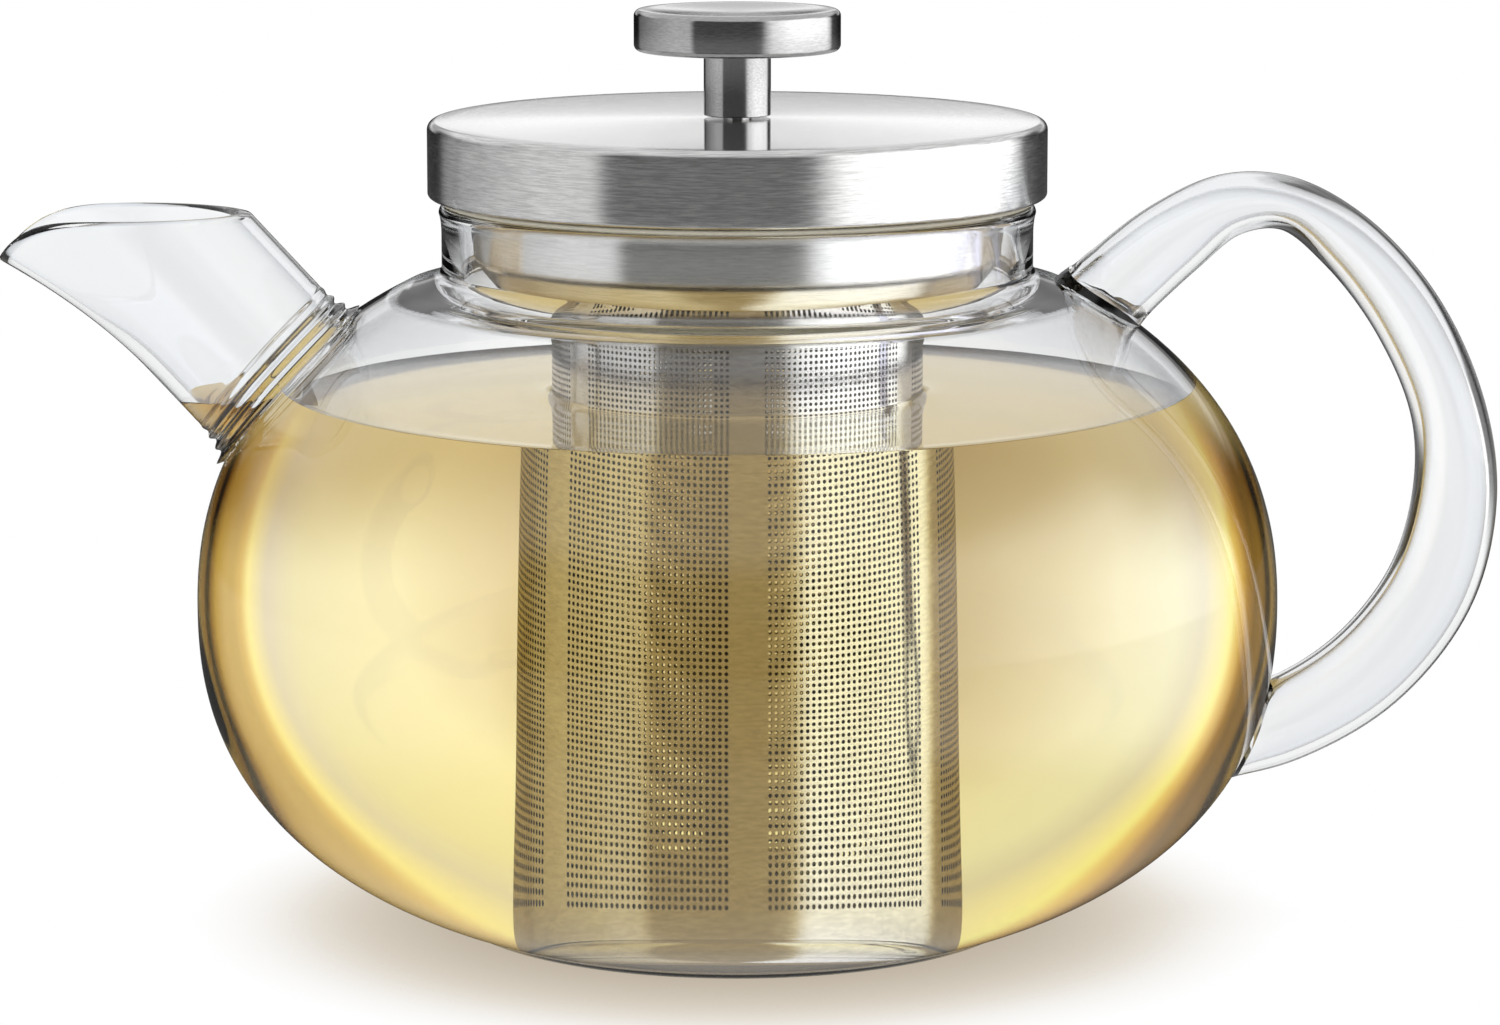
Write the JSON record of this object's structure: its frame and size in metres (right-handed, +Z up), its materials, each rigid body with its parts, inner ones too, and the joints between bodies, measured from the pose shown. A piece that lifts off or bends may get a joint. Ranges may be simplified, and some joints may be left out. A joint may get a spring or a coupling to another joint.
{
  "type": "glass teapot",
  "caption": "Round clear glass teapot with slanting spout and hollow loop handle, lift-out perforated steel infuser and flat brushed steel lid with disc knob.",
  "frame": {"origin": "on the pot's axis at its flat underside", "axes": "+Z up, +X towards the handle, -X towards the spout"},
  "size_m": [0.2335, 0.1688, 0.1427],
  "materials": {
    "clear_glass": "clear polished borosilicate glass",
    "pale_silicone": "pale translucent silicone, satin",
    "brushed_steel": "fine circumferential brushing, spun top faces",
    "satin_steel": "satin sheet"
  },
  "bodies": {
    "pot": {"glass_body": "clear_glass", "glass_spout": "clear_glass", "spout_weld_ring": "clear_glass", "glass_handle": "clear_glass", "handle_upper_weld": "clear_glass", "handle_lower_weld": "clear_glass"},
    "neck_ring": {"neck_seal": "pale_silicone"},
    "infuser": {"infuser_collar": "brushed_steel", "infuser_basket": "satin_steel", "infuser_bottom": "satin_steel"},
    "lid_ring": {"lid_seal": "pale_silicone"},
    "lid": {"lid_cap": "brushed_steel", "lid_liner": "satin_steel", "knob": "brushed_steel", "knob_screw": "satin_steel", "screw_washer": "satin_steel"}
  },
  "joints": [
    {"name": "infuser_lift", "type": "slide", "parent": "pot", "child": "neck_ring", "axis": [0, 0, 1], "range_m": [0, 0.11]},
    {"name": "infuser_turn", "type": "hinge", "parent": "neck_ring", "child": "infuser", "pos_m": [0, 0, 0.1], "axis": [0, 0, 1], "continuous": true},
    {"name": "lid_lift", "type": "slide", "parent": "infuser", "child": "lid_ring", "axis": [0, 0, 1], "range_m": [0, 0.05]},
    {"name": "lid_turn", "type": "hinge", "parent": "lid_ring", "child": "lid", "pos_m": [0, 0, 0.12], "axis": [0, 0, 1], "continuous": true}
  ]
}
